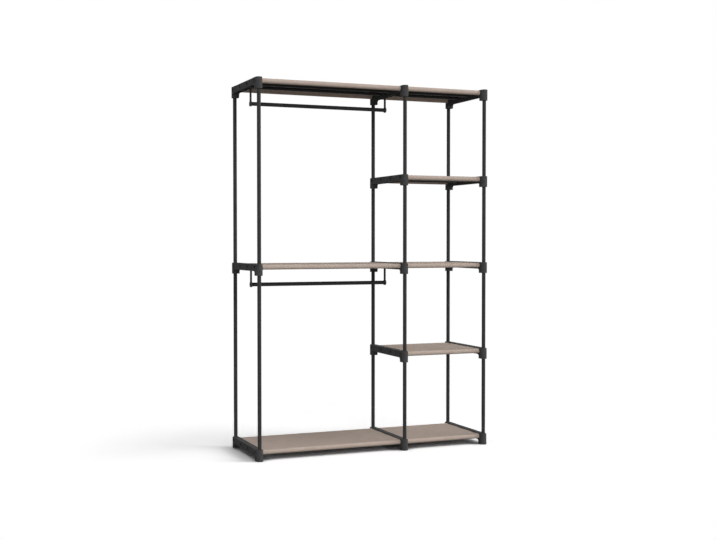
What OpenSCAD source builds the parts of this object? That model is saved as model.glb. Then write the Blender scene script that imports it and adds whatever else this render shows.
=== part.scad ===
// Open closet organiser. Three upright frames of push-fit steel tubes and moulded side rails
// carry eight fabric shelves in two bays, with two hanging rods in the wide left bay.
// The origin is on the floor under the middle: X runs to the right, Y to the back, Z up.

/* [Frame] */
// Distance between the post axes of the left and centre frames
wide_bay = 758.5; // [500:0.5:1000]
// Distance between the post axes of the centre and right frames
narrow_bay = 446.5; // [300:0.5:700]
// Distance between the front and back post axes
frame_depth = 399; // [330:1:500]
// Height from the foot of one rail to the foot of the next
level_pitch = 441.25; // [300:0.25:600]

/* [Tubes] */
// Outside diameter of every steel tube
tube_d = 19; // [16:0.5:20]
// Wall of the steel tube
tube_wall = 0.5; // [0.4:0.1:1.5]
// From a post axis to the nearest shelf tube's axis
tube_inset = 19.5; // [19.5:0.5:22]
// Height of the shelf tubes' axes above the foot of their rail
tube_height = 41; // [38:0.5:42]

/* [Side rails] */
// Width of a rail's end collars
collar_w = 33; // [32:0.5:40]
// Height of an end collar
collar_h = 55; // [54:1:70]
// Height of the beam between the collars
beam_h = 34; // [32:1:40]
// How far the beam's faces stand in from the collars' faces
beam_inset = 1; // [0.5:0.1:1.5]
// Reach of a collar's foot behind the post axis
gusset_foot = 22; // [18:1:24]
// Height up to which the foot's back stands upright, below its slanted gusset
gusset_step = 13; // [8:1:18]
// Reach of the gusset behind the post axis, at its head
gusset_head = 57; // [50:1:60]
// Rounding of the rails' long edges
edge_r = 2; // [1:0.25:3]
// Rounding of the collars' lower edges
foot_r = 0.6; // [0.4:0.1:1.5]
// Wall of the moulding around the pockets in its underside
rail_wall = 2.6; // [1.8:0.1:3.5]
// Depth of a post's socket
post_socket = 25; // [18:0.5:26]
// Depth of a shelf tube's socket
tube_socket = 13; // [10:0.5:13.5]
// Gap all round a tube in its socket
socket_gap = 0.2; // [0.1:0.05:0.3]
// Gap between a tube's end and the floor of its socket
end_gap = 0.3; // [0.2:0.1:0.8]
// Wall of the round boss about a shelf tube's socket
boss_wall = 2.9; // [2:0.1:3.5]
// How far the bosses stand out from the collars' faces
boss_rise = 0.7; // [0.3:0.1:1.5]
// Radius of the blind recess in a boss that takes no tube
recess_r = 6.5; // [5:0.5:9]
// Depth of the blind recess in a boss that takes no tube
recess_depth = 6; // [1:0.5:8]
// Bevel round the mouth of a post's socket
mouth_bevel = 0.8; // [0.4:0.1:1.2]

/* [Plugs] */
// Length of the plugs that close the sockets at the top and at the floor
plug_len = 12; // [8:1:16]
// Wall of a plug
plug_wall = 2; // [1.5:0.1:3]
// Bevel round a plug's face
plug_bevel = 0.6; // [0.3:0.1:1]

/* [Fabric shelves] */
// Thickness of the shelf cloth
cloth_t = 0.7; // [0.5:0.1:1.2]
// Extra thickness of the folded hem round the front and back tubes
hem_extra = 0.2; // [0.2:0.1:0.6]
// Gap between the cloth and the tubes
cloth_gap = 0.3; // [0.2:0.1:0.5]
// How far the hems hang slack below a close wrap round their tubes
hem_drop = 2.2; // [0.4:0.2:5]
// Gap between a hem's end and the boss beside it
hem_end_gap = 2.3; // [1:0.1:6]

/* [Hanging rods] */
// Drop from the shelf tubes' axes to the rod's axis
rod_drop = 90; // [60:1:150]
// Gap all round the rod in its cups
rod_gap = 0.3; // [0.2:0.05:0.5]
// Thickness of a hanger along the rod
hanger_t = 8; // [6:0.5:12]
// Width of a hanger's bar
hanger_w = 8.5; // [7:0.5:12]
// Wall of the cup about the rod's end
cup_wall = 3.2; // [2:0.1:4]
// Floor of the cup behind the rod's end
cup_floor = 2; // [1.5:0.1:3]
// Height of the hanger's head above the foot of its rail
hanger_head = 49; // [46:0.5:49]
// Width of the key that plugs the hanger into the rail
key_w = 5; // [4:0.5:6]
// Height of the key
key_h = 12; // [8:0.5:14]
// Length of the key
key_len = 9; // [6:0.5:11]
// Gap all round the key in its slot
key_gap = 0.2; // [0.1:0.05:0.3]

/* [Hidden] */
$fn = 96;
// Reach of a cutter past the face that it cuts
past = 1;

FRAMES = ["left", "centre", "right"];
LEVELS = ["bottom", "low", "middle", "high", "top"];
BAYS = ["wide", "narrow"];
SIDES = ["front", "back"];
// Levels at which each frame has a rail, and each bay a shelf
frame_levels = [[0, 2, 4], [0, 1, 2, 3, 4], [0, 1, 2, 3, 4]];
bay_levels = [[0, 2, 4], [0, 1, 2, 3, 4]];
// Levels that carry a hanging rod in the wide bay
rod_levels = [2, 4];

overall_w = wide_bay + narrow_bay;
frame_x = [-overall_w / 2, wide_bay - overall_w / 2, overall_w / 2];
post_y = [-frame_depth / 2, frame_depth / 2];
tube_r = tube_d / 2;
socket_r = tube_r + socket_gap;
boss_r = socket_r + boss_wall;
boss_face = collar_w / 2 + boss_rise;
beam_w = collar_w - 2 * beam_inset;
beam_z = collar_h - beam_h;
// Shelf tubes from front to back, evenly spaced between the two near the posts
tube_pitch = (frame_depth - 2 * tube_inset) / 3;
tube_y = [for (i = [0:3]) (i - 1.5) * tube_pitch];
// Blocks of the moulding that stay solid round the sockets and the hanger's slot
block = socket_r + rail_wall;
key_block = key_w / 2 + key_gap + rail_wall;
hem_inner = tube_r + cloth_gap;
hem_outer = hem_inner + cloth_t + hem_extra;
panel_rise = hem_inner + hem_extra / 2;
cloth_end = boss_face + hem_end_gap;
cup_r = tube_r + rod_gap + cup_wall;
key_z = hanger_head - key_h / 2 - rail_wall;

function level_z(level) = level * level_pitch;
function is_in(value, list) = len([for (v = list) if (v == value) 1]) > 0;
function left_used(frame, level) = frame == 2 || (frame == 1 && is_in(level, bay_levels[0]));
function right_used(frame, level) = frame < 2;
function holds_rod(frame, side, level) =
    is_in(level, rod_levels) && ((frame == 0 && side == 1) || (frame == 1 && side == -1));

function rail_name(frame, level) = str("rail_", FRAMES[frame], "_", LEVELS[level]);
function post_name(frame, side, span) = str("post_", FRAMES[frame], "_", SIDES[side], "_", span + 1);
function tubes_name(bay, level) = str("tubes_", BAYS[bay], "_", LEVELS[level]);
function shelf_name(bay, level) = str("shelf_", BAYS[bay], "_", LEVELS[level]);
function hanger_name(frame, level) = str("hanger_", FRAMES[frame], "_", LEVELS[level]);
function rod_name(level) = str("rod_", LEVELS[level]);

// A tube along Z with its lower end at the origin
module tube(length) {
    difference() {
        cylinder(h = length, r = tube_r);
        translate([0, 0, -past]) cylinder(h = length + 2 * past, r = tube_r - tube_wall);
    }
}

// Section across a rail, rounded along its long edges, with a rounding of its own at the lower ones
module rail_section(width, low, high, low_r) {
    half = width / 2;
    translate([-half, low + low_r]) square([width, high - edge_r - low - low_r]);
    translate([edge_r - half, low + low_r]) square([width - 2 * edge_r, high - low - low_r]);
    translate([low_r - half, low]) square([width - 2 * low_r, high - edge_r - low]);
    for (s = [-1, 1]) {
        translate([s * (half - edge_r), high - edge_r]) circle(edge_r);
        translate([s * (half - low_r), low + low_r]) circle(low_r);
    }
}

module along_y(length) {
    translate([0, length, 0]) rotate([90, 0, 0]) linear_extrude(length) children();
}

// End collar about the post axis, round outside, with its foot and gusset towards +Y
module collar() {
    rotate_extrude() intersection() {
        rail_section(collar_w, 0, collar_h, foot_r);
        square([collar_w, collar_h]);
    }
    intersection() {
        along_y(gusset_head) rail_section(collar_w, 0, collar_h, foot_r);
        translate([-collar_w, 0, 0]) rotate([90, 0, 90]) linear_extrude(2 * collar_w)
            polygon([[0, -past], [gusset_foot, -past], [gusset_foot, gusset_step],
                     [gusset_head, collar_h], [gusset_head, collar_h + past], [0, collar_h + past]]);
    }
}

// Blind socket for a post, with its mouth at the origin, running up
module post_bore() {
    translate([0, 0, -past]) cylinder(h = post_socket + past, r = socket_r);
    translate([0, 0, -mouth_bevel])
        cylinder(h = 2 * mouth_bevel, r1 = socket_r + 2 * mouth_bevel, r2 = socket_r);
}

// Pocket in the beam's underside between two places along the rail
module pocket(from, to) {
    translate([rail_wall - beam_w / 2, from, -past])
        cube([beam_w - 2 * rail_wall, to - from, collar_h - rail_wall + past]);
}

// What a shelf tube needs on one face of the rail, towards +X: a socket or a blind recess
module tube_bore(used) {
    radius = used ? socket_r : recess_r;
    depth = used ? tube_socket : recess_depth;
    translate([boss_face - depth, 0, tube_height]) rotate([0, 90, 0]) cylinder(h = depth + past, r = radius);
}

module boss() {
    translate([0, 0, tube_height]) rotate([0, 90, 0]) cylinder(h = boss_face, r = boss_r);
}

// Flat pad on the rail's face, and the slot in it, for a hanger's head
module hanger_pad() {
    translate([0, -key_block, beam_z + edge_r])
        cube([boss_face, 2 * key_block, beam_h - 2 * edge_r]);
}

module hanger_slot() {
    translate([boss_face - key_len - end_gap, -key_w / 2 - key_gap, key_z - key_h / 2 - key_gap])
        cube([key_len + end_gap + past, key_w + 2 * key_gap, key_h + 2 * key_gap]);
}

// A side rail at its own origin: under its middle, level with its foot.
// used and slotted say for the left and the right face what is plugged in there.
module side_rail(used, slotted) {
    color([0.16, 0.16, 0.17]) difference() {
        union() {
            for (s = [0, 1]) mirror([0, s, 0]) translate([0, post_y[0], 0]) collar();
            translate([0, post_y[0], 0]) along_y(frame_depth) rail_section(beam_w, beam_z, collar_h, edge_r);
            for (m = [1, 0], y = tube_y) mirror([m, 0, 0]) translate([0, y, 0]) boss();
            for (m = [1, 0]) if (slotted[1 - m]) mirror([m, 0, 0]) hanger_pad();
        }
        for (y = post_y) translate([0, y, 0]) post_bore();
        for (y = post_y) translate([0, y, collar_h]) mirror([0, 0, 1]) post_bore();
        for (m = [1, 0], y = tube_y) mirror([m, 0, 0]) translate([0, y, 0]) tube_bore(used[1 - m]);
        for (m = [1, 0]) if (slotted[1 - m]) mirror([m, 0, 0]) hanger_slot();
        for (s = [0, 1]) mirror([0, s, 0]) {
            pocket(key_block, tube_y[2] - block);
            pocket(tube_y[2] + block, (tube_y[2] + tube_y[3] - rail_wall) / 2);
            pocket((tube_y[2] + tube_y[3] + rail_wall) / 2, tube_y[3] - block);
        }
    }
}

// Post between the rails of a frame's level number span and the one above it
module post(frame, side, span) {
    low = level_z(frame_levels[frame][span]) + collar_h - post_socket + end_gap;
    high = level_z(frame_levels[frame][span + 1]) + post_socket - end_gap;
    color([0.12, 0.12, 0.13]) translate([frame_x[frame], post_y[side], low]) tube(high - low);
}

// Cup-shaped plug that fills a post's socket, with its face at the origin, running up
module plug() {
    color([0.14, 0.14, 0.15]) difference() {
        union() {
            cylinder(h = plug_bevel, r1 = tube_r - plug_bevel, r2 = tube_r);
            translate([0, 0, plug_bevel]) cylinder(h = plug_len - plug_bevel, r = tube_r);
        }
        translate([0, 0, plug_wall]) cylinder(h = plug_len, r = tube_r - plug_wall);
    }
}

module foot_plugs() {
    for (x = frame_x, y = post_y) translate([x, y, 0]) plug();
}

module top_plugs() {
    for (x = frame_x, y = post_y) translate([x, y, level_z(4) + collar_h]) mirror([0, 0, 1]) plug();
}

// Four tubes of a shelf, pushed into the sockets at both ends
module shelf_tubes(bay, level) {
    start = frame_x[bay] + boss_face - tube_socket + end_gap;
    length = frame_x[bay + 1] - boss_face + tube_socket - end_gap - start;
    color([0.12, 0.12, 0.13]) for (y = tube_y)
        translate([start, y, level_z(level) + tube_height]) rotate([0, 90, 0]) tube(length);
}

// Section through a hem's face about its tube's axis: round the tube above, and slack below
module hem_section(radius) {
    for (drop = [0, hem_drop]) translate([0, -drop]) circle(radius);
    translate([-radius, -hem_drop]) square([2 * radius, hem_drop]);
}

// Cloth of one shelf: a flat panel over the tubes, with a hem round the front and back ones
module shelf(bay, level) {
    start = frame_x[bay] + cloth_end;
    length = frame_x[bay + 1] - cloth_end - start;
    hem_y = [tube_y[0], tube_y[3]];
    color([0.58, 0.52, 0.48]) translate([start, 0, level_z(level) + tube_height])
        rotate([90, 0, 90]) linear_extrude(length) difference() {
            union() {
                for (y = hem_y) translate([y, 0]) hem_section(hem_outer);
                translate([hem_y[0], panel_rise]) square([hem_y[1] - hem_y[0], cloth_t]);
            }
            for (y = hem_y) translate([y, 0]) hem_section(hem_inner);
        }
}

// Hanger that drops from a rail's face towards +X and ends in a cup for the rod
module hanger() {
    rod_z = tube_height - rod_drop;
    color([0.14, 0.14, 0.15]) difference() {
        union() {
            translate([0, -hanger_w / 2, rod_z]) cube([hanger_t, hanger_w, hanger_head - rod_z]);
            translate([0, 0, rod_z]) rotate([0, 90, 0]) cylinder(h = hanger_t, r = cup_r);
            translate([-key_len, -key_w / 2, key_z - key_h / 2]) cube([key_len + past, key_w, key_h]);
        }
        translate([cup_floor, 0, rod_z]) rotate([0, 90, 0]) cylinder(h = hanger_t, r = tube_r + rod_gap);
    }
}

module placed_hanger(frame, level) {
    translate([frame_x[frame], 0, level_z(level)]) mirror([frame, 0, 0])
        translate([boss_face, 0, 0]) hanger();
}

// Rod that lies in the cups of its two hangers
module rod(level) {
    start = frame_x[0] + boss_face + cup_floor + end_gap;
    length = frame_x[1] - boss_face - cup_floor - end_gap - start;
    color([0.12, 0.12, 0.13]) translate([start, 0, level_z(level) + tube_height - rod_drop])
        rotate([0, 90, 0]) tube(length);
}

for (f = [0:2]) for (v = frame_levels[f])
    translate([frame_x[f], 0, level_z(v)])
            side_rail([left_used(f, v), right_used(f, v)], [holds_rod(f, -1, v), holds_rod(f, 1, v)]);
for (f = [0:2]) for (s = [0, 1]) for (n = [0:len(frame_levels[f]) - 2])
    post(f, s, n);
foot_plugs();
top_plugs();
for (b = [0, 1]) for (v = bay_levels[b])
    shelf_tubes(b, v);
for (b = [0, 1]) for (v = bay_levels[b])
    shelf(b, v);
for (v = rod_levels) for (f = [0, 1])
    placed_hanger(f, v);
for (v = rod_levels)
    rod(v);
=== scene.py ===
import math

import bpy
import numpy as np
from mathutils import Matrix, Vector, noise


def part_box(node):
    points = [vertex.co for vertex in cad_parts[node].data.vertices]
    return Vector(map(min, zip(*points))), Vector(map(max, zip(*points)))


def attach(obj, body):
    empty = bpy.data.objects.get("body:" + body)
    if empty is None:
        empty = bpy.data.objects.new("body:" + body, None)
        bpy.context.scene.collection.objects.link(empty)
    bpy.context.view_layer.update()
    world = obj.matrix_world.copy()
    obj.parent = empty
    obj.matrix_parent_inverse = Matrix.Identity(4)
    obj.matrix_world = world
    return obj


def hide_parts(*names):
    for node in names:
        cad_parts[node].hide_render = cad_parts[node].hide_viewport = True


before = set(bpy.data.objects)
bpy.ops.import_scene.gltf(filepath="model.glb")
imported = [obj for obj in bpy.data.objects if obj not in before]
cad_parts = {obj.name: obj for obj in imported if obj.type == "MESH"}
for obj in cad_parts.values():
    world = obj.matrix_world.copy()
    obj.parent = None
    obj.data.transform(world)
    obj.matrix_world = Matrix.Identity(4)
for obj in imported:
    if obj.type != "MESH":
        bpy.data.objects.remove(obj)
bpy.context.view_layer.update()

# Foot plugs: six cups that close the post sockets where the bottom rails stand on the floor.
# They are moulded in black polypropylene and pushed in, flush with the collars' feet.


def add_node(tree, kind, inputs=None, **settings):
    """A shader node with its settings, and its inputs set to values or linked to sockets."""
    made = tree.nodes.new("ShaderNode" + kind)
    for key, value in settings.items():
        setattr(made, key, value)
    for key, value in (inputs or {}).items():
        if isinstance(value, bpy.types.NodeSocket):
            tree.links.new(value, made.inputs[key])
        else:
            made.inputs[key].default_value = value
    return made


def grain(tree, place, per_metre, detail=2.0, roughness=0.5, seed=0.0):
    """Noise with that many features to a metre, from 0 to 1, its own for each seed."""
    made = add_node(tree, "TexNoise", {"Vector": place, "Scale": per_metre, "Detail": detail,
                                       "Roughness": roughness, "W": seed}, noise_dimensions="4D")
    return made.outputs["Fac"]


def spread(tree, value, low, high, start=0.3, end=0.7):
    """The value from start to end, stretched to run from low to high."""
    made = add_node(tree, "MapRange", {"Value": value, "From Min": start, "From Max": end,
                                       "To Min": low, "To Max": high})
    return made.outputs["Result"]


def between(tree, value, dark, light, start=0.3, end=0.7):
    """A colour from dark to light, as the value goes from start to end."""
    ramp = add_node(tree, "ValToRGB", {"Fac": value})
    for element, at, colour in zip(ramp.color_ramp.elements, (start, end), (dark, light)):
        element.position, element.color = at, (*colour, 1)
    return ramp.outputs["Color"]


def relief(tree, height, depth, strength, under=None):
    """A normal that follows the height, which is depth metres from 0 to 1, on top of the one under it."""
    inputs = {"Height": height, "Distance": depth, "Strength": strength}
    if under is not None:
        inputs["Normal"] = under
    return add_node(tree, "Bump", inputs).outputs["Normal"]


def new_finish(name):
    """A new material, with its node tree and its shader."""
    material = bpy.data.materials.new(name)
    material.use_nodes = True
    return material, material.node_tree, material.node_tree.nodes["Principled BSDF"]


def moulded_plastic(name, dark, light, shine, shade=None):
    """Black polypropylene from a spark-eroded mould: a fine even grain with duller, paler patches.

    The colour is multiplied by shade(tree, place), a painted shade, where that is given. All round the part
    is white, so more gloss than this turns the black to grey.
    """
    material, tree, shader = new_finish(name)
    place = add_node(tree, "TexCoord").outputs["Object"]
    patches = grain(tree, place, per_metre=28, detail=3, roughness=0.6)
    sparks = grain(tree, place, per_metre=1500, roughness=0.6)
    flow = grain(tree, place, per_metre=120, seed=3.0)
    colour = between(tree, patches, dark, light)
    # Painted shade: the colour is darkened by the shade factor where one is given
    if shade is not None:
        shaded = add_node(tree, "VectorMath", {0: colour, 1: shade(tree, place)}, operation="MULTIPLY")
        colour = shaded.outputs[0]
    shader.inputs["Specular IOR Level"].default_value = 0.005
    tree.links.new(colour, shader.inputs["Base Color"])
    tree.links.new(spread(tree, flow, shine - 0.05, shine + 0.06), shader.inputs["Roughness"])
    soft = relief(tree, flow, depth=0.00012, strength=0.6)
    tree.links.new(relief(tree, sparks, depth=0.00006, strength=0.8, under=soft), shader.inputs["Normal"])
    return material


def finish_nodes(material, start):
    """Gives the CAD nodes whose names start so their finish, on the material slots they came with."""
    for name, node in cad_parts.items():
        if name.startswith(start):
            for place in node.material_slots:
                place.material = material


plug_plastic = moulded_plastic("plug_plastic", (0.055, 0.055, 0.0555), (0.068, 0.068, 0.0687), shine=0.6)
finish_nodes(plug_plastic, "foot_plugs")

# Side rails: thirteen alike, each with a collar about the front post, one about the back post, and
# a beam between them. Each face has four round places for shelf tubes: sockets, or blind recesses
# where no tube goes in. They are moulded in black polypropylene.
SOCKET_SPACING = 0.12
SOCKET_HEIGHT = 0.041
LEVEL_PITCH = 0.44125
# Painted shade in the round recesses: it fades in between these radii, down to this part of the colour at
# their middle
RECESS_RIM = (0.0064, 0.0067)
PAINTED_RECESS_SHADE = 0.12


def painted_recess_shade(tree, place):
    """A factor of painted shade, which darkens the round recesses, where little light gets in, and is 1
    elsewhere.
    """
    apart = add_node(tree, "SeparateXYZ", {"Vector": place})
    along = add_node(tree, "Math", {0: apart.outputs["Y"], 1: SOCKET_SPACING / 2}, operation="PINGPONG")
    along = add_node(tree, "Math", {0: SOCKET_SPACING / 2, 1: along.outputs[0]}, operation="SUBTRACT")
    height = add_node(tree, "Math", {0: apart.outputs["Z"], 1: SOCKET_HEIGHT}, operation="SUBTRACT")
    height = add_node(tree, "Math", {0: height.outputs[0], 1: LEVEL_PITCH / 2}, operation="PINGPONG")
    reach = add_node(tree, "CombineXYZ", {"X": along.outputs[0], "Y": height.outputs[0]})
    reach = add_node(tree, "VectorMath", {0: reach.outputs[0]}, operation="LENGTH")
    return spread(tree, reach.outputs["Value"], PAINTED_RECESS_SHADE, 1, *RECESS_RIM)


# The rails' colour gets painted shade in the round recesses, where little light gets in
rail_plastic = moulded_plastic("rail_plastic", (0.061, 0.061, 0.0615), (0.075, 0.075, 0.0757), shine=0.65,
                               shade=painted_recess_shade)
finish_nodes(rail_plastic, "rail_")

# Posts: thin steel tube, cut square, and pushed into the collars from one level to the next.
# They are powder coated in satin black, with the coat's slight orange peel.


def powder_coat(name, dark, light, shine):
    """Satin black powder coat: a slow mottle in the colour and an orange peel of about a millimetre."""
    material, tree, shader = new_finish(name)
    place = add_node(tree, "TexCoord").outputs["Object"]
    mottle = grain(tree, place, per_metre=18, detail=3, roughness=0.55)
    peel = grain(tree, place, per_metre=650, detail=1, roughness=0.4)
    handled = grain(tree, place, per_metre=45, detail=4, roughness=0.65, seed=7.0)
    shader.inputs["Specular IOR Level"].default_value = 0.04
    tree.links.new(between(tree, mottle, dark, light), shader.inputs["Base Color"])
    tree.links.new(spread(tree, handled, shine - 0.04, shine + 0.07), shader.inputs["Roughness"])
    tree.links.new(relief(tree, peel, depth=0.00005, strength=0.7), shader.inputs["Normal"])
    return material


post_coat = powder_coat("post_coat", (0.036, 0.036, 0.0364), (0.0445, 0.0445, 0.045), shine=0.35)
finish_nodes(post_coat, "post_")

# Shelf tubes: four of the same steel tube under each shelf, the outer two inside the cloth's hems.
# Their ends are pushed into the rails' sockets, so they carry the load and hold the frames apart.
finish_nodes(post_coat, "tubes_")

# Shelf cloths: one piece of taupe non-woven polypropylene for each shelf, bonded in small dots.
# Front and back edges are turned round a tube and sewn down, and the side edges are folded and sewn.
TUBE_Y = (-0.180, -0.060, 0.060, 0.180)
CAD_CLOTH_T = 0.0007
CLOTH_T = 0.0008
LOOP_R = 0.01025
HEM_DROP = 0.0022
PANEL_Z = SOCKET_HEIGHT + LOOP_R
SEAM_IN = 0.021
SEAM_TURN = 0.003
TAIL_END = 0.034
TAIL_GAP = 0.0001


def cloth_line():
    """The cloth's path from its front tail across the shelf to its back tail.

    It is a row of (y, z), with z measured from the foot of the rails at that level.
    """
    seam = np.array([SEAM_IN, PANEL_Z - CLOTH_T - TAIL_GAP - SOCKET_HEIGHT])
    low = np.array([0, -HEM_DROP])
    leave = math.atan2(*(seam - low)[::-1]) - math.acos(LOOP_R / np.hypot(*(seam - low)))
    touch = low + LOOP_R * np.array([math.cos(leave), math.sin(leave)])
    down = (touch - seam) / np.hypot(*(touch - seam))
    start, end = seam + [SEAM_TURN, 0], seam + SEAM_TURN * down

    # About the tube's axis: the tail, the turn at the seam, the slack run down to the loop, and the
    # loop, first round its low centre and then close about the tube
    points = [(y, seam[1]) for y in np.linspace(TAIL_END, start[0], 5)[:-1]]
    for t in np.linspace(0, 1, 7)[:-1]:
        points.append(tuple((1 - t) ** 2 * start + 2 * t * (1 - t) * seam + t * t * end))
    points += [tuple(end + t * (touch - end)) for t in np.linspace(0, 1, 5)[:-1]]
    for angle in np.linspace(leave, -math.pi, 15):
        points.append(tuple(low + LOOP_R * np.array([math.cos(angle), math.sin(angle)])))
    for angle in np.linspace(-math.pi, -1.5 * math.pi, 10)[:-1]:
        points.append((LOOP_R * math.cos(angle), LOOP_R * math.sin(angle)))
    front = [(TUBE_Y[0] + y, SOCKET_HEIGHT + z) for y, z in points]

    # Across the panel, with points close together about the seam
    steps = [0, 0.004, 0.009, 0.014, 0.018, 0.0205, 0.0225, 0.026, 0.033]
    steps += [*np.linspace(0.042, 0.162, 13), 0.17]
    half = front + [(TUBE_Y[0] + s, PANEL_Z) for s in steps]
    return np.array(half + [(0.0, PANEL_Z)] + [(-y, z) for y, z in reversed(half)])


def wave(x, y, seed, per_metre, detail=1):
    """Smooth noise between about -1 and 1 over the cloth, its own for each seed."""
    return noise.fractal(Vector((x * per_metre, y * per_metre, 3.7 * seed)), 1.0, 2.0, detail)


# Points along X are a station apart, and closer in the zone by each side edge, where the fold is
STATION = 0.008
EDGE_ZONE = 0.02
SIDE_FOLD = 0.009
FOLD_STEP = 0.0006
FOLD_RISE = 0.0005
# Heights of the cloth's shapes, each with how far it reaches from a seam or a side edge
SAG = 0.0013
TAUT_REACH = 0.03
PANEL_WAVE = 0.00055
LOOP_WAVE = 0.00018
SEAM_SINK = 0.0002
SEAM_WIDTH = 0.0016
PUCKER = 0.0003
PUCKER_REACH = 0.01
DRAG = 0.0004
DRAG_REACH = 0.05


def panel_lift(x, y, side, seed):
    """How far the cloth stands above a flat panel there, for its sag, waves, seams and puckers."""
    taut = 1 - 0.4 * math.exp(-side / TAUT_REACH)
    bay = min(2, max(0, int((y - TUBE_Y[0]) / SOCKET_SPACING)))
    s = (y - TUBE_Y[bay]) / SOCKET_SPACING
    free = max(0.0, 4 * s * (1 - s))
    lift = -SAG * taut * free * (1 + 0.25 * wave(x, y, seed, per_metre=5))
    lift += (0.08 + 0.92 * free) * PANEL_WAVE * wave(x, y, seed + 11, per_metre=11, detail=2)
    seam = abs(abs(y) + TUBE_Y[0] + SEAM_IN)
    lift -= SEAM_SINK * math.exp(-(seam / SEAM_WIDTH) ** 2)
    puckers = wave(x, 0.3, seed + 5, per_metre=31) * min(1, free * 4)
    lift += PUCKER * math.exp(-seam / PUCKER_REACH) * puckers
    drag = math.exp(-side / DRAG_REACH) * wave(0.25 * x + y, 0.6 * y, seed + 23, per_metre=38)
    return lift + DRAG * free * drag


def cloth_shape(x_from, x_to, foot, seed):
    """The outer and the inner surface of one cloth as grids of points, with the grids' places along X
    and along the cloth's length."""
    width = x_to - x_from
    edge = [0, 0.0015, 0.005, SIDE_FOLD - FOLD_STEP, SIDE_FOLD + FOLD_STEP, 0.0125]
    count = round((width - 2 * EDGE_ZONE) / STATION)
    inner = np.linspace(EDGE_ZONE, width - EDGE_ZONE, count + 1)
    across = np.concatenate([edge, inner, width - np.array(edge[::-1])])
    line = cloth_line()
    steps = np.hypot(*np.diff(line, axis=0).T)
    along = np.concatenate([[0], np.cumsum(steps)])
    tangent = np.gradient(line, along, axis=0)
    tangent /= np.hypot(*tangent.T)[:, None]
    normal = np.stack([-tangent[:, 1], tangent[:, 0]], 1)
    above_tube = line[:, 1] - SOCKET_HEIGHT
    above_tube -= np.clip(above_tube, -HEM_DROP, 0)
    loop = np.hypot(np.abs(line[:, 0]) + TUBE_Y[0], above_tube) < LOOP_R * 1.02
    panel = (np.abs(line[:, 0]) < -TUBE_Y[0]) & (line[:, 1] > PANEL_Z - 1e-6)
    outside, inside = [], []
    for x in across:
        side = min(x, width - x)
        fold = FOLD_RISE * min(1, max(0, (SIDE_FOLD + FOLD_STEP - side) / (2 * FOLD_STEP)))
        out_row, in_row = [], []
        for i, (y, z) in enumerate(line):
            lift = 0.0
            if panel[i]:
                lift = panel_lift(x, y, side, seed)
            elif loop[i]:
                lift = LOOP_WAVE * (1 + wave(x, along[i], seed + 31, per_metre=14, detail=2))
            bulge = normal[i] * lift
            outer = line[i] + bulge + normal[i] * (CLOTH_T / 2 + fold * (panel[i] or loop[i]))
            under = line[i] + bulge - normal[i] * CLOTH_T / 2
            out_row.append((x_from + x, outer[0], foot + outer[1]))
            in_row.append((x_from + x, under[0], foot + under[1]))
        outside.append(out_row)
        inside.append(in_row)
    return np.array(outside), np.array(inside), across, along


def cloth_mesh(name, outside, inside, across, along):
    """A closed mesh from the two surfaces, with each point's place on the flat cloth as its attribute."""
    rows, columns = outside.shape[:2]
    points = np.concatenate([outside.reshape(-1, 3), inside.reshape(-1, 3)])
    at = np.arange(rows * columns).reshape(rows, columns)
    under = at + rows * columns

    def quads(a, b, c, d):
        return np.stack([a, b, c, d], -1).reshape(-1, 4)

    faces = np.concatenate([
        quads(at[:-1, :-1], at[1:, :-1], at[1:, 1:], at[:-1, 1:]),
        quads(under[:-1, :-1], under[:-1, 1:], under[1:, 1:], under[1:, :-1]),
        quads(at[:-1, 0], under[:-1, 0], under[1:, 0], at[1:, 0]),
        quads(at[:-1, -1], at[1:, -1], under[1:, -1], under[:-1, -1]),
        quads(at[0, :-1], at[0, 1:], under[0, 1:], under[0, :-1]),
        quads(at[-1, :-1], under[-1, :-1], under[-1, 1:], at[-1, 1:]),
    ])
    mesh = bpy.data.meshes.new(name)
    mesh.from_pydata(points.tolist(), [], faces.tolist())
    mesh.polygons.foreach_set("use_smooth", [True] * len(mesh.polygons))
    mesh.set_sharp_from_angle(angle=math.radians(50))
    flat = np.stack(np.broadcast_arrays(across[:, None], along[None, :], 0.0), -1).reshape(-1, 3)
    place = mesh.attributes.new("cut", "FLOAT_VECTOR", "POINT")
    place.data.foreach_set("vector", np.concatenate([flat, flat]).astype(np.float32).ravel())
    return mesh


def nonwoven(name, dark, light):
    """Spunbond polypropylene: matted fibres, bonded together in rows of small pressed dots."""
    material, tree, shader = new_finish(name)
    place = add_node(tree, "Attribute", attribute_name="cut").outputs["Vector"]
    fibres = grain(tree, place, per_metre=1100, detail=3, roughness=0.7)
    clouds = grain(tree, place, per_metre=22, detail=4, roughness=0.6)
    dots = add_node(tree, "TexVoronoi", {"Vector": place, "Scale": 620, "Randomness": 0.0}, feature="F1")
    pressed = spread(tree, dots.outputs["Distance"], 0, 1, start=0.12, end=0.34)
    mixed = add_node(tree, "Math", {0: fibres, 1: clouds}, operation="MULTIPLY").outputs[0]
    shader.inputs["Specular IOR Level"].default_value = 0.0
    shader.inputs["Sheen Weight"].default_value = 0.02
    shader.inputs["Sheen Roughness"].default_value = 0.4
    tree.links.new(between(tree, mixed, dark, light, start=0.12, end=0.4), shader.inputs["Base Color"])
    tree.links.new(spread(tree, fibres, 0.58, 0.72), shader.inputs["Roughness"])
    soft = relief(tree, fibres, depth=0.00005, strength=0.4)
    tree.links.new(relief(tree, pressed, depth=0.00008, strength=0.4, under=soft), shader.inputs["Normal"])
    return material


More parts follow.
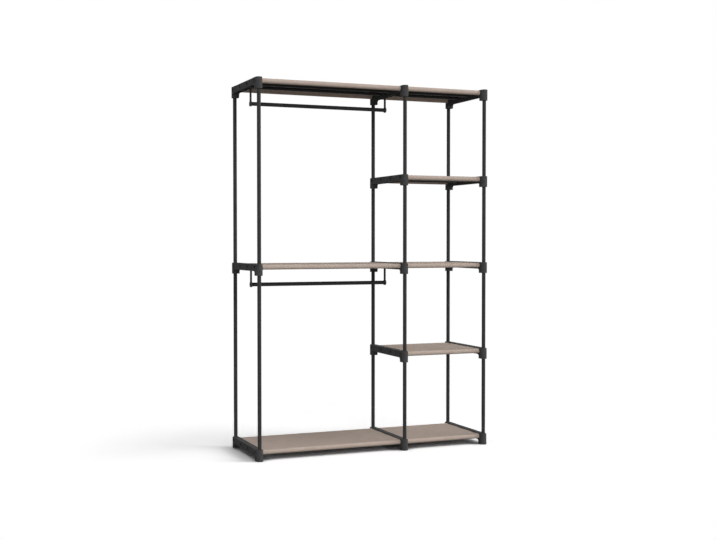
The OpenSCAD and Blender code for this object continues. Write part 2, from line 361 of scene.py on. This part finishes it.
def sewing_thread(name, colour):
    """Twisted polyester thread, with a fine grain of darker colour that stands for painted shade between
    its strands.
    """
    material, tree, shader = new_finish(name)
    place = add_node(tree, "TexCoord").outputs["Object"]
    twist = grain(tree, place, per_metre=2400, detail=1)
    # Painted shade between the strands: a fine grain of darker colour
    darker = tuple(0.75 * c for c in colour)
    shader.inputs["Roughness"].default_value = 0.55
    tree.links.new(between(tree, twist, darker, colour), shader.inputs["Base Color"])
    tree.links.new(relief(tree, twist, depth=0.0001, strength=0.6), shader.inputs["Normal"])
    return material


STITCH_PITCH = 0.005
STITCH = 0.0037
THREAD_R = 0.00022
# Four points of one stitch: their places along it, their heights and their parts of the thread's radius
STITCH_PARTS = np.array([0, 0.22, 0.78, 1])
STITCH_RISE = np.array([-0.0001, 0.0002, 0.0002, -0.0001])
STITCH_TAPER = np.array([0.6, 1, 1, 0.6])


def row_on(surface, across, along, start, end, x=None, v=None):
    """Points and outward normals of one row of stitches on a cloth surface, which runs along X at the
    length v, or along the length at x."""
    columns = np.gradient(surface, along, axis=1)
    rows = np.gradient(surface, across, axis=0)
    out = np.cross(rows, columns)
    out /= np.linalg.norm(out, axis=2)[..., None]
    count = int((end - start) / STITCH_PITCH)
    first = start + (end - start - (count - 1) * STITCH_PITCH - STITCH) / 2
    at = first + STITCH_PITCH * np.arange(count)[:, None] + STITCH * STITCH_PARTS

    def read(grid):
        if x is None:
            line = np.array([[np.interp(v, along, row[:, k]) for k in range(3)] for row in grid])
            return np.stack([np.interp(at, across, line[:, k]) for k in range(3)], -1)
        line = np.array([[np.interp(x, across, grid[:, j, k]) for k in range(3)]
                         for j in range(len(along))])
        return np.stack([np.interp(at, along, line[:, k]) for k in range(3)], -1)

    normals = read(out)
    return read(surface), normals / np.linalg.norm(normals, axis=2)[..., None]


def stitches(name, rows):
    """One mesh of thread: each stitch rises out of the cloth, lies on it and goes in again."""
    points, faces = [], []
    for centre, out in rows:
        for c, n in zip(centre, out):
            run = c[-1] - c[0]
            run /= np.linalg.norm(run)
            first = len(points)
            for k in range(4):
                side = np.cross(run, n[k])
                side /= np.linalg.norm(side)
                up = np.cross(side, run)
                middle = c[k] + n[k] * STITCH_RISE[k]
                for a, b in ((1, 0), (0, 1), (-1, 0), (0, -1)):
                    points.append(tuple(middle + STITCH_TAPER[k] * THREAD_R * (a * side + b * up)))
            for k in range(3):
                for j in range(4):
                    a, b = first + 4 * k + j, first + 4 * k + (j + 1) % 4
                    faces.append((a, b, b + 4, a + 4))
            faces.append((first + 3, first + 2, first + 1, first))
            faces.append((first + 12, first + 13, first + 14, first + 15))
    mesh = bpy.data.meshes.new(name)
    mesh.from_pydata(points, [], faces)
    mesh.polygons.foreach_set("use_smooth", [True] * len(mesh.polygons))
    return mesh


def put_in_scene(name, data):
    """A new object with that mesh, lamp or camera, linked into the scene."""
    made = bpy.data.objects.new(name, data)
    bpy.context.scene.collection.objects.link(made)
    return made


ROW_INSET = 0.004
TAIL_MARGIN = 0.001
SIDE_MARGIN = 0.0025
# Points of the cloth's path from the hem's front to well behind its seam
OVER_SEAM = slice(30, 60)

taupe = nonwoven("taupe_nonwoven", (0.421, 0.345, 0.297), (0.511, 0.419, 0.361))
thread = sewing_thread("taupe_thread", (0.37, 0.305, 0.262))
for number, node in enumerate(sorted(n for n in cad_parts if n.startswith("shelf_"))):
    low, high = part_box(node)
    place = node.removeprefix("shelf_")
    foot = high.z - PANEL_Z - CAD_CLOTH_T / 2
    outside, inside, across, along = cloth_shape(low.x, high.x, foot, number)
    cloth = put_in_scene("cloth_" + place, cloth_mesh("cloth_" + place, outside, inside, across, along))
    cloth.data.materials.append(taupe)
    width, length = across[-1], along[-1]
    hem_seam = np.interp(TUBE_Y[0] + SEAM_IN, outside[0, OVER_SEAM, 1], along[OVER_SEAM])
    tail_seam = TAIL_END - SEAM_IN - TAIL_MARGIN
    rows = [row_on(outside, across, along, ROW_INSET, width - ROW_INSET, v=v)
            for v in (hem_seam, length - hem_seam, tail_seam, length - tail_seam)]
    rows += [row_on(outside, across, along, hem_seam + ROW_INSET, length - hem_seam - ROW_INSET, x=x)
             for x in (SIDE_FOLD - SIDE_MARGIN, width - SIDE_FOLD + SIDE_MARGIN)]
    sewn = put_in_scene("stitching_" + place, stitches("stitching_" + place, rows))
    sewn.data.materials.append(thread)
    for piece in (cloth, sewn):
        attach(piece, "frame")
    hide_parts(node)

# Top plugs: six more of the cups, which close the post sockets at the top of the highest rails.
# They are moulded in the same black polypropylene and pushed in, flush with the collars' tops.
finish_nodes(plug_plastic, "top_plugs")

# Rod hangers: four bars that drop from keys in the faces of the left and centre rails, each with a
# cup for an end of a rod. They are moulded in the same black polypropylene as the rails.
finish_nodes(rail_plastic, "hanger_")

# Hanging rods: two steel tubes that lie in the hangers' cups, and are free to turn in them.
# Clothes hangers rub along their tops, so the coat is a little smoother than on the posts.
rod_coat = powder_coat("rod_coat", (0.0345, 0.0345, 0.0349), (0.043, 0.043, 0.0434), shine=0.33)
finish_nodes(rod_coat, "rod_")

# Camera: at the photograph's angle, in front and to the left, a little above half the part's height,
# and turned very slightly down. It was fitted to the posts and rails in the photograph.
CAMERA_PLACE = (-2.21662, -5.30001, 1.05333)
YAW, PITCH = 0.3939, -0.0269
SENSOR_MM, LENS_MM = 36.0, 56.71
camera_data = bpy.data.cameras.new("camera")
camera_data.sensor_width, camera_data.lens = SENSOR_MM, LENS_MM
camera = put_in_scene("camera", camera_data)
camera.location = CAMERA_PLACE
camera.rotation_euler = (math.pi / 2 + PITCH, 0, -YAW)
bpy.context.scene.camera = camera

# Studio: a soft key lamp in front on the right, with wide fills from the front, left and back, and a
# dim room all round, which the camera and shiny surfaces see as white. The floor keeps the part's
# shadow, darkest close under it, where painted shadow is added, and it fades to white further off.
ROOM_LIGHT = 0.2
FLOOR_HALF = 40
FLOOR_Z = -0.0003
FLOOR_BOUNCE = 0.26
FLOOR_GAIN = 1.45
SHADOW_REACH = 0.95
# Painted shadow under the part: the floor's colour, as the camera sees it, darkens where the part is this
# close, down to this part of the white
PAINTED_SHADOW_REACH = 0.065
PAINTED_SHADOW_DARK = 0.2
PAINTED_SHADOW_OPEN = (0.38, 0.72)


def soft_lamp(name, direction, energy, width):
    """A lamp far away in that direction, as wide as that many degrees."""
    data = bpy.data.lights.new(name, "SUN")
    data.energy, data.angle = energy, math.radians(width)
    lamp = put_in_scene(name, data)
    lamp.rotation_mode = "QUATERNION"
    lamp.rotation_quaternion = Vector(direction).to_track_quat("Z", "Y")


def sees_backdrop(tree):
    """1 for the camera's rays and for those in gloss and glass, which all see the white background."""
    rays = add_node(tree, "LightPath").outputs
    seen = add_node(tree, "Math", {0: rays["Is Camera Ray"], 1: rays["Is Glossy Ray"]}, operation="MAXIMUM")
    seen = add_node(tree, "Math", {0: seen.outputs[0], 1: rays["Is Transmission Ray"]}, operation="MAXIMUM")
    return seen.outputs[0]


soft_lamp("key", (1.0, -0.45, 0.6), energy=2.15, width=40)
soft_lamp("front_fill", (0.0, -1.0, 0.3), energy=1.6, width=60)
soft_lamp("left_fill", (-1.0, -0.25, 0.1), energy=0.9, width=50)
soft_lamp("back_fill", (0.4, 1.0, 0.1), energy=0.8, width=50)

room = bpy.data.worlds.new("room")
bpy.context.scene.world = room
room.use_nodes = True
tree = room.node_tree
tree.nodes.clear()
light = add_node(tree, "Background", {"Color": (1, 1, 1, 1), "Strength": ROOM_LIGHT})
white = add_node(tree, "Background", {"Color": (1, 1, 1, 1), "Strength": 1.0})
both = add_node(tree, "MixShader", {0: sees_backdrop(tree), 1: light.outputs[0], 2: white.outputs[0]})
add_node(tree, "OutputWorld", {"Surface": both.outputs[0]})

floor_mesh = bpy.data.meshes.new("floor")
corners = [(x * FLOOR_HALF, y * FLOOR_HALF, FLOOR_Z) for x, y in ((-1, -1), (1, -1), (1, 1), (-1, 1))]
floor_mesh.from_pydata(corners, [], [(0, 1, 2, 3)])
floor = put_in_scene("floor", floor_mesh)
floor_paint = bpy.data.materials.new("floor_paint")
floor_paint.use_nodes = True
tree = floor_paint.node_tree
tree.nodes.clear()
paint = add_node(tree, "BsdfDiffuse", {"Color": (FLOOR_BOUNCE, FLOOR_BOUNCE, FLOOR_BOUNCE, 1)})
# Painted shadow: close under the part, the floor's colour for the camera is darkened by how much is near it
openness = add_node(tree, "AmbientOcclusion", {"Distance": PAINTED_SHADOW_REACH}, samples=16).outputs["AO"]
white_with_painted_shadow = spread(tree, openness, PAINTED_SHADOW_DARK * FLOOR_GAIN, FLOOR_GAIN, *PAINTED_SHADOW_OPEN)
bright = add_node(tree, "BsdfDiffuse", {"Color": white_with_painted_shadow})
backdrop = add_node(tree, "Emission", {"Color": (1, 1, 1, 1), "Strength": 1.0})
spot = add_node(tree, "NewGeometry").outputs["Position"]
away = add_node(tree, "VectorMath", {0: spot}, operation="LENGTH")
faded = spread(tree, away.outputs["Value"], 0, 1, SHADOW_REACH, 1.5 * SHADOW_REACH)
bright = add_node(tree, "MixShader", {0: faded, 1: bright.outputs[0], 2: backdrop.outputs[0]})
both = add_node(tree, "MixShader", {0: sees_backdrop(tree), 1: paint.outputs[0], 2: bright.outputs[0]})
add_node(tree, "OutputMaterial", {"Surface": both.outputs[0]})
floor_mesh.materials.append(floor_paint)

bpy.context.scene.view_settings.view_transform = "Standard"
